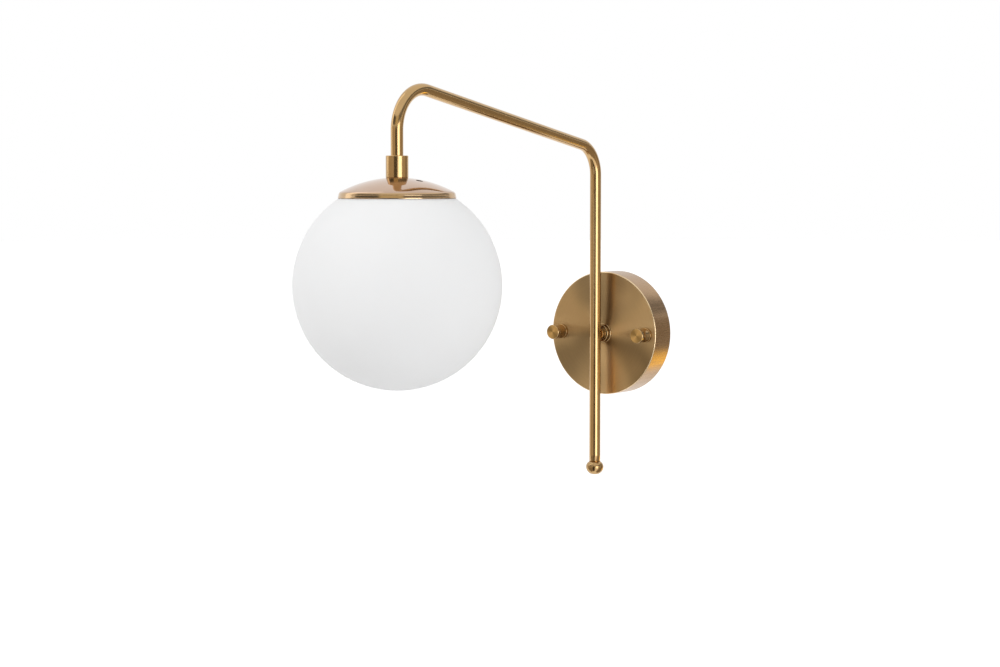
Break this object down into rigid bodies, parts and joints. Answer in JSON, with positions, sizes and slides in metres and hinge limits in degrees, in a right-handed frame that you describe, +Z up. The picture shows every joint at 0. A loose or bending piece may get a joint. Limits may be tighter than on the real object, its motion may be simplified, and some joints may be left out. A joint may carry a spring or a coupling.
{
  "type": "globe wall sconce",
  "caption": "Wall light with a round drum backplate, a bent tube arm on a turned spacer, a dome cap and an opal glass globe.",
  "frame": {"origin": "centre of the backplate on the wall plane", "axes": "+Z up, +Y into the wall, +X along the wall; the lamp reaches out along -Y"},
  "size_m": [0.15, 0.368, 0.3086],
  "materials": {
    "antique_brass": "concentric brushed, antique bronze tone",
    "satin_brass": "satin polished, old gold tone",
    "polished_brass": "mirror polished, rosy tone",
    "zinc_steel": "zinc plated",
    "spring_steel": "bright rolled",
    "opal_glass": "opal white, satin",
    "lamp_glass": "clear",
    "black_phenolic": "moulded, semi gloss",
    "porcelain": "unglazed white",
    "contact_brass": "bright",
    "nickel_cap": "nickel plated, thin",
    "lamp_insulator": "black vitreous",
    "phosphor": "phosphor coated",
    "terminal_plastic": "moulded natural",
    "terminal_steel": "plated",
    "brown_insulation": "extruded",
    "blue_insulation": "extruded",
    "green_yellow_insulation": "extruded, two colours"
  },
  "bodies": {
    "fixture": {"arm_tube": "satin_brass", "ball_finial": "satin_brass", "block_screws": "zinc_steel", "bracket_studs": "zinc_steel", "canopy": "antique_brass", "cap_lock_nut": "zinc_steel", "centre_contact": "contact_brass", "clip_plate": "spring_steel", "clip_rivets": "spring_steel", "collar": "satin_brass", "contact_block": "porcelain", "contact_screws": "contact_brass", "dome_cap": "polished_brass", "earth_lug": "contact_brass", "earth_screw": "zinc_steel", "earth_wire": "green_yellow_insulation", "glass_clips": "spring_steel", "holder_nipple": "zinc_steel", "lampholder_cap": "black_phenolic", "lampholder_shell": "black_phenolic", "live_wire": "brown_insulation", "neutral_wire": "blue_insulation", "screw_shell": "contact_brass", "stem_lock_washer": "zinc_steel", "stem_nipple": "zinc_steel", "stem_nut": "zinc_steel", "stem_spacer": "satin_brass", "stud_lock_nuts": "zinc_steel", "terminal_block": "terminal_plastic", "terminal_screws": "terminal_steel", "terminal_sleeves": "contact_brass", "wall_bracket": "zinc_steel"},
    "left_bush": {"left_nut_insert": "zinc_steel"},
    "left_thumb_nut": {"left_nut": "antique_brass"},
    "right_bush": {"right_nut_insert": "zinc_steel"},
    "right_thumb_nut": {"right_nut": "antique_brass"},
    "glass_globe": {"globe": "opal_glass"},
    "lamp_tip": {"bulb_contact": "nickel_cap"},
    "lamp": {"bulb_cap": "nickel_cap", "bulb_insulator": "lamp_insulator", "bulb_glass": "lamp_glass", "bulb_stem": "lamp_glass", "bulb_filaments": "phosphor", "bulb_leads": "nickel_cap"}
  },
  "joints": [
    {"name": "left_nut_travel", "type": "slide", "parent": "fixture", "child": "left_bush", "axis": [0, -1, 0], "range_m": [0, 0.0105]},
    {"name": "left_nut_turn", "type": "hinge", "parent": "left_bush", "child": "left_thumb_nut", "pos_m": [-0.0405, -0.023, 0], "axis": [0, -1, 0], "range_deg": [0, 5405]},
    {"name": "right_nut_travel", "type": "slide", "parent": "fixture", "child": "right_bush", "axis": [0, -1, 0], "range_m": [0, 0.0105]},
    {"name": "right_nut_turn", "type": "hinge", "parent": "right_bush", "child": "right_thumb_nut", "pos_m": [0.0405, -0.023, 0], "axis": [0, -1, 0], "range_deg": [0, 5405]},
    {"name": "globe_pull", "type": "slide", "parent": "fixture", "child": "glass_globe", "axis": [0, 0, -1], "range_m": [0, 0.14]},
    {"name": "lamp_travel", "type": "slide", "parent": "fixture", "child": "lamp_tip", "axis": [0, 0, -1], "range_m": [0, 0.01996]},
    {"name": "lamp_turn", "type": "hinge", "parent": "lamp_tip", "child": "lamp", "pos_m": [0, -0.293, 0.09], "axis": [0, 0, -1], "range_deg": [0, 1985]}
  ],
  "couplings": [
    {"joint": "left_nut_turn", "follows": "left_nut_travel", "rad_per_m": 8976},
    {"joint": "right_nut_turn", "follows": "right_nut_travel", "rad_per_m": 8976},
    {"joint": "lamp_turn", "follows": "lamp_travel", "rad_per_m": 1731.6}
  ]
}
